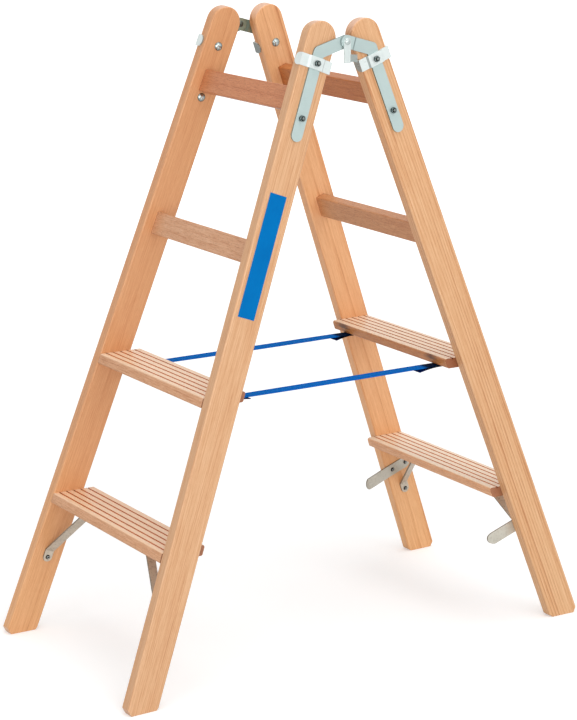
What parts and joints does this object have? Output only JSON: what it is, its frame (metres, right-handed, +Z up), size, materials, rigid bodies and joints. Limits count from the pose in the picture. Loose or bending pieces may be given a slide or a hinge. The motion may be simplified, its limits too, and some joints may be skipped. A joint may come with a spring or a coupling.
{
  "type": "wooden trestle ladder",
  "caption": "Free-standing double-sided wooden ladder: two flared sections with grooved treads and flat rungs, joined by steel hinges at the top and held open by webbing straps.",
  "frame": {"origin": "on the floor, in the middle of the four feet", "axes": "+Z up, X from the front section (negative) to the rear section (positive), Y along the hinge axis, with the near side at negative Y"},
  "size_m": [0.9934, 0.505, 1.1742],
  "materials": {
    "stile_pine": "planed softwood with a clear satin coat",
    "step_beech": "planed hardwood with a clear satin coat",
    "zinc_steel": "bright zinc plating",
    "brace_steel": "dull zinc plating",
    "webbing": "woven polyester webbing",
    "label_film": "plain printed film"
  },
  "bodies": {
    "front_section": {"front_stile_near": "stile_pine", "front_stile_far": "stile_pine", "front_tread_lower": "step_beech", "front_tread_upper": "step_beech", "front_rung_lower": "step_beech", "front_rung_upper": "step_beech", "front_hinge_arm_near": "zinc_steel", "front_hinge_arm_far": "zinc_steel", "front_hinge_band_near": "zinc_steel", "front_hinge_band_far": "zinc_steel", "front_carriage_bolts": "zinc_steel", "front_hinge_nuts": "zinc_steel", "front_tread_brace_near": "brace_steel", "front_tread_brace_far": "brace_steel", "front_brace_screws": "zinc_steel", "front_strap_screws": "zinc_steel", "hinge_pin_near": "zinc_steel", "hinge_pin_far": "zinc_steel", "strap_near": "webbing", "strap_far": "webbing", "stile_label": "label_film"},
    "rear_section": {"rear_stile_near": "stile_pine", "rear_stile_far": "stile_pine", "rear_tread_lower": "step_beech", "rear_tread_upper": "step_beech", "rear_rung_lower": "step_beech", "rear_rung_upper": "step_beech", "rear_hinge_arm_near": "zinc_steel", "rear_hinge_arm_far": "zinc_steel", "rear_hinge_band_near": "zinc_steel", "rear_hinge_band_far": "zinc_steel", "rear_carriage_bolts": "zinc_steel", "rear_hinge_nuts": "zinc_steel", "rear_tread_brace_near": "brace_steel", "rear_tread_brace_far": "brace_steel", "rear_brace_screws": "zinc_steel", "rear_strap_screws": "zinc_steel", "rear_guide_bar_near": "brace_steel", "rear_guide_bar_far": "brace_steel", "rear_guide_screws": "zinc_steel"},
    "latch": {"latch_lever": "zinc_steel"}
  },
  "joints": [
    {"name": "fold", "type": "hinge", "parent": "front_section", "child": "rear_section", "pos_m": [0, 0, 1.136], "axis": [0, 1, 0], "range_deg": [0, 39.2], "deforming": ["strap_near", "strap_far"]},
    {"name": "latch_swing", "type": "hinge", "parent": "front_section", "child": "latch", "pos_m": [0, -0.1785, 1.136], "axis": [0, 1, 0], "continuous": true}
  ]
}
